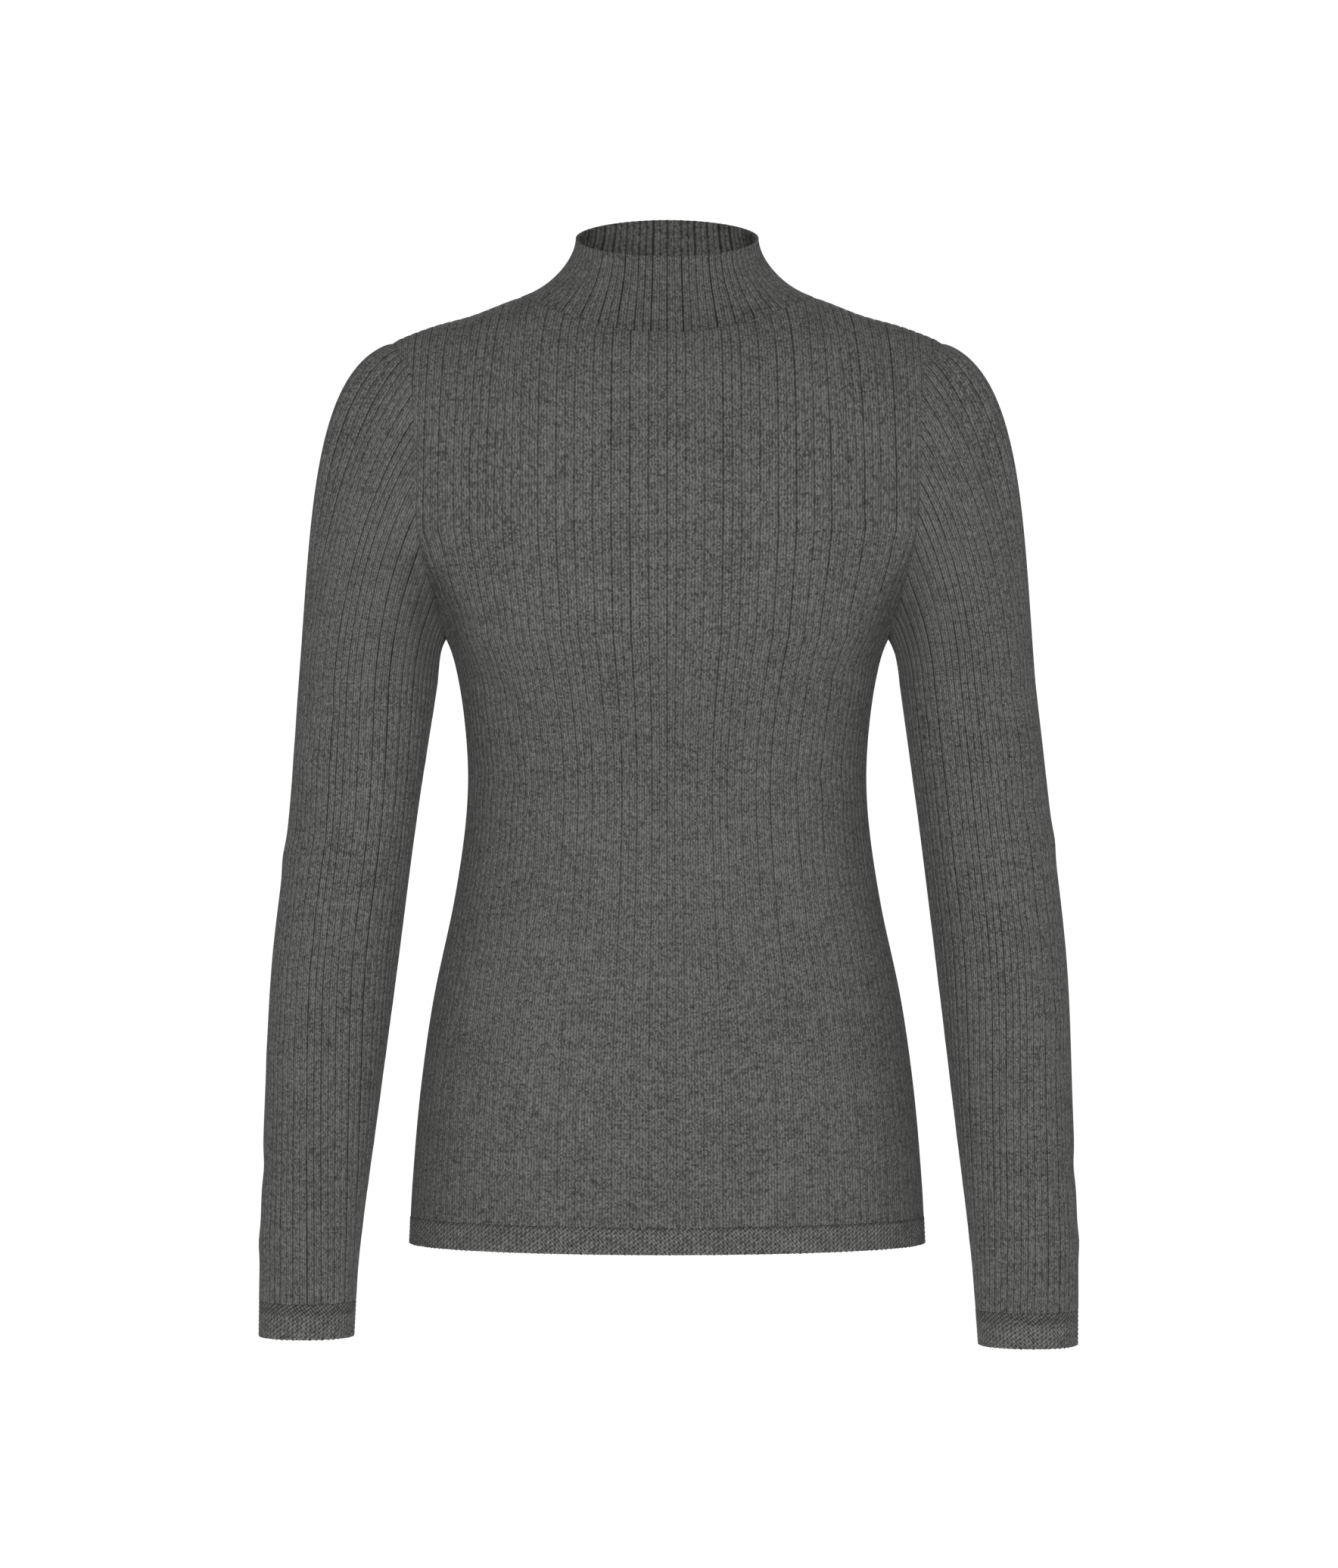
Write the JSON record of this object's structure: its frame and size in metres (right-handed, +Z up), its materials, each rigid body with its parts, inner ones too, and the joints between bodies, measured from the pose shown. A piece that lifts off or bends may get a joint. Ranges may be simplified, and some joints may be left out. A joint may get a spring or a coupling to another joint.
{
  "type": "turtleneck sweater",
  "caption": "Fitted long-sleeved turtleneck sweater in fine vertical rib knit, in its worn, hollow form, with narrow plain bands at the hem and cuffs.",
  "frame": {"origin": "middle of the neck's base on the shoulder line, where the wearer's shoulders hold the sweater up", "axes": "+Z up towards the collar, -Y the way the front faces, +X the wearer's left"},
  "size_m": [0.5231, 0.2328, 0.7247],
  "materials": {
    "rib_knit": "fine vertical rib knit in a dark grey melange yarn",
    "plain_knit": "plain knit band in the same yarn"
  },
  "bodies": {
    "root": {"front_panel": "rib_knit", "back_panel": "rib_knit", "collar": "rib_knit", "sleeve_left": "rib_knit", "sleeve_right": "rib_knit", "hem_band_front": "plain_knit", "hem_band_back": "plain_knit", "cuff_left": "plain_knit", "cuff_right": "plain_knit"}
  },
  "joints": []
}
